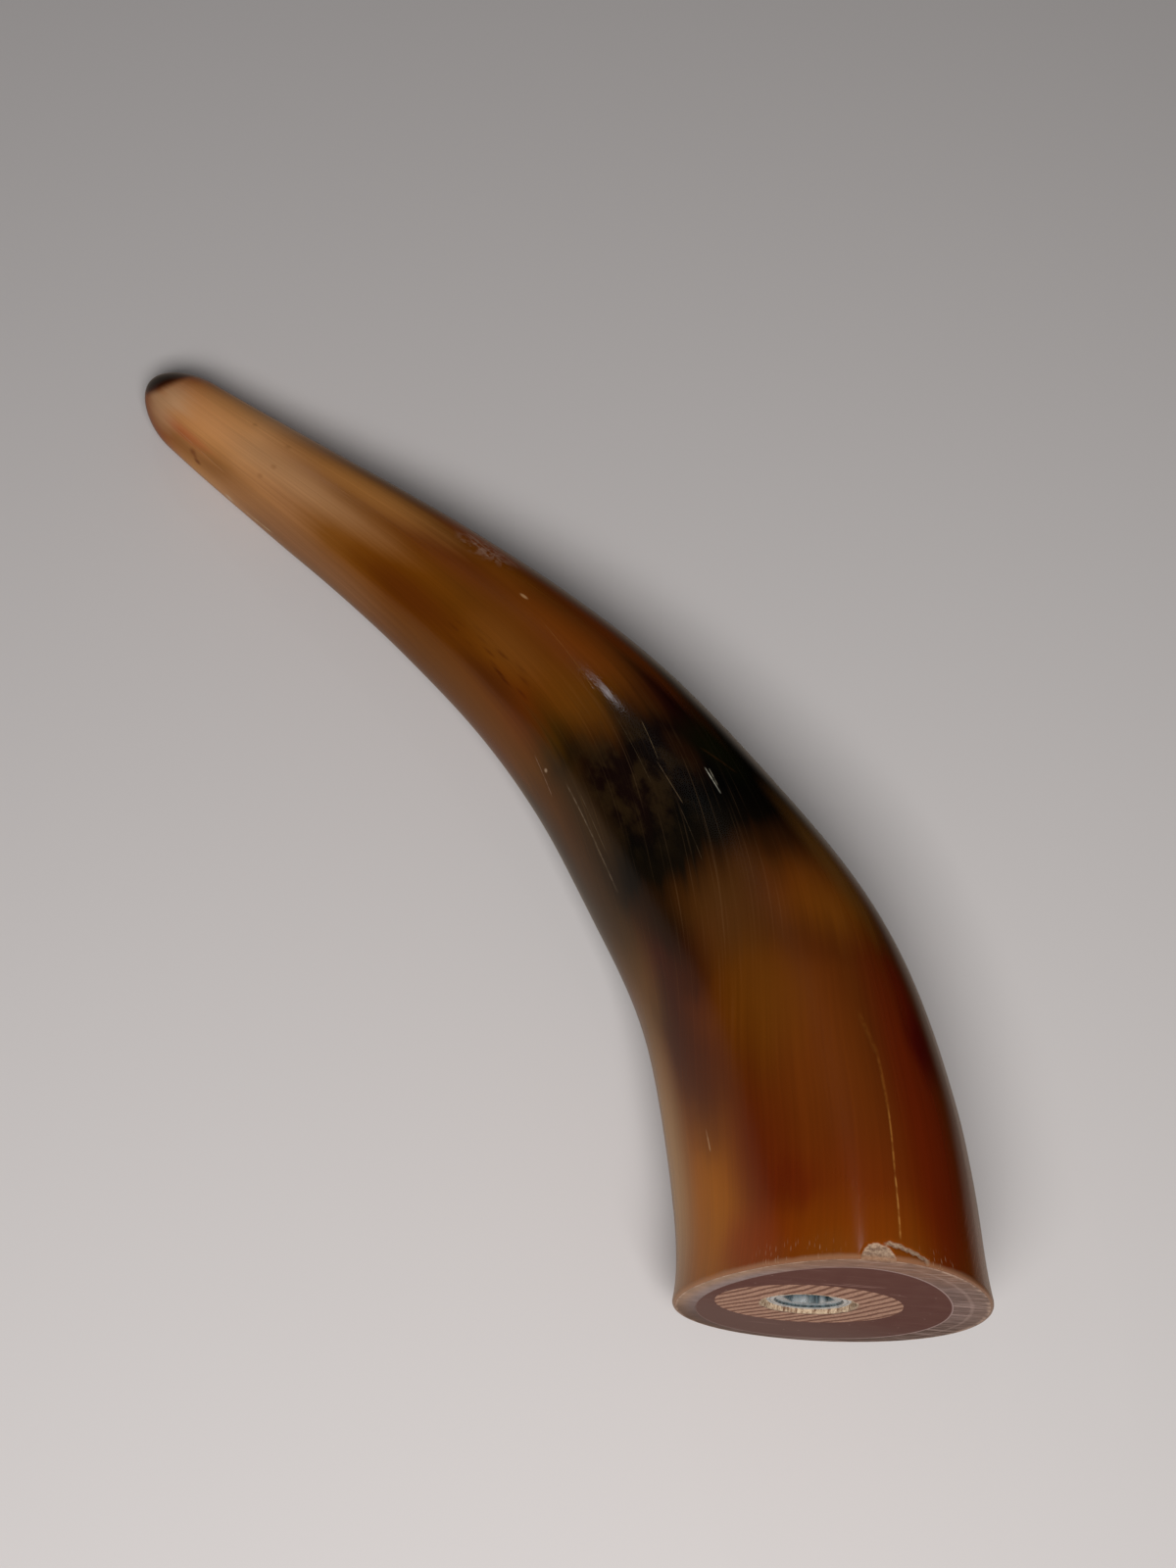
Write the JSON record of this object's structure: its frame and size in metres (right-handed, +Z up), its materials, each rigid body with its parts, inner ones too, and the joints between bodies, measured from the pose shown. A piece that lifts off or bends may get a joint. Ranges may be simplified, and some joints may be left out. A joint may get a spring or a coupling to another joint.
{
  "type": "polished buffalo horn",
  "caption": "Polished, curved buffalo horn with a blunt tip, cut flat at its base, which is filled and holds a threaded bolt insert in a wood plug.",
  "frame": {"origin": "on the surface it lies on, under the middle of its bounding box", "axes": "+Z up, +Y level and away from the cut face, along the horn's axis at the cut, +X level, towards the outside of the bend"},
  "size_m": [0.1824, 0.194, 0.0789],
  "materials": {
    "polished_horn": "polished horn, translucent amber, brown and black, high gloss with fine scratches",
    "dark_resin": "sanded dark red-brown filler, satin",
    "pale_wood": "sanded bare wood, matt",
    "zinc_plate": "bright blue-white zinc plating"
  },
  "bodies": {
    "root": {"horn": "polished_horn", "resin_fill": "dark_resin", "wood_plug": "pale_wood", "threaded_insert": "zinc_plate"}
  },
  "joints": []
}
